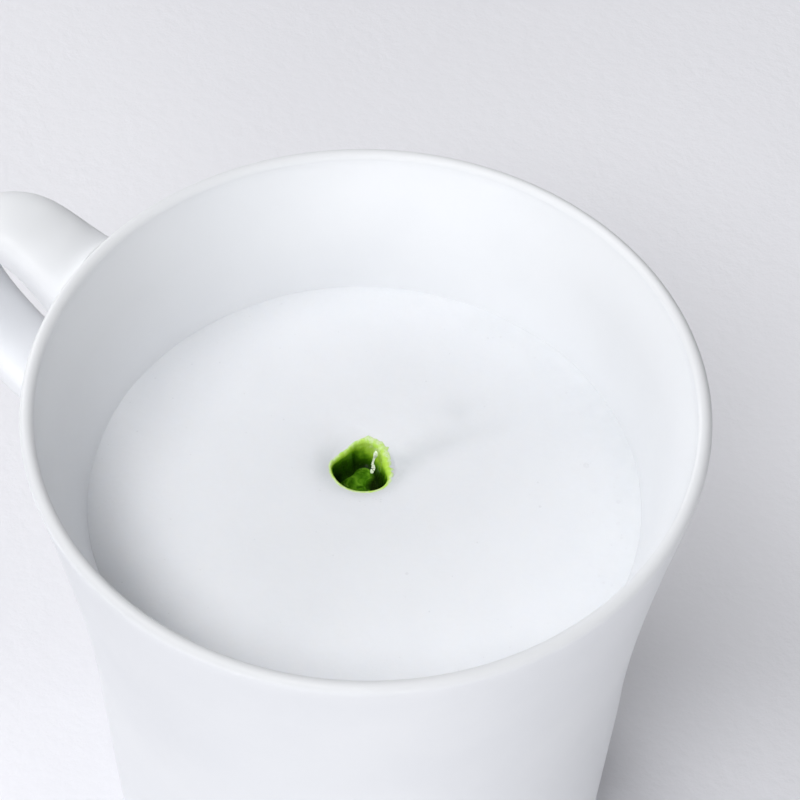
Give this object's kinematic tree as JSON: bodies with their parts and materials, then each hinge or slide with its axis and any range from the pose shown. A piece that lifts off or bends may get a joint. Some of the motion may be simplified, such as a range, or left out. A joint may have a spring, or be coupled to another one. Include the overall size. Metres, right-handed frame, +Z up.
{
  "type": "matcha latte",
  "caption": "White glazed porcelain latte mug with a strap handle, filled with frothed milk, and matcha lining and pooled in a small round hollow in the milk.",
  "frame": {"origin": "centre of the mug's flat underside, on its axis", "axes": "+Z up along the mug's axis; the handle points along -X"},
  "size_m": [0.12, 0.092, 0.102],
  "materials": {
    "porcelain": "gloss",
    "frothed_milk": "satin",
    "matcha": "gloss"
  },
  "bodies": {
    "root": {"mug": "porcelain", "milk": "frothed_milk", "matcha": "matcha"}
  },
  "joints": []
}
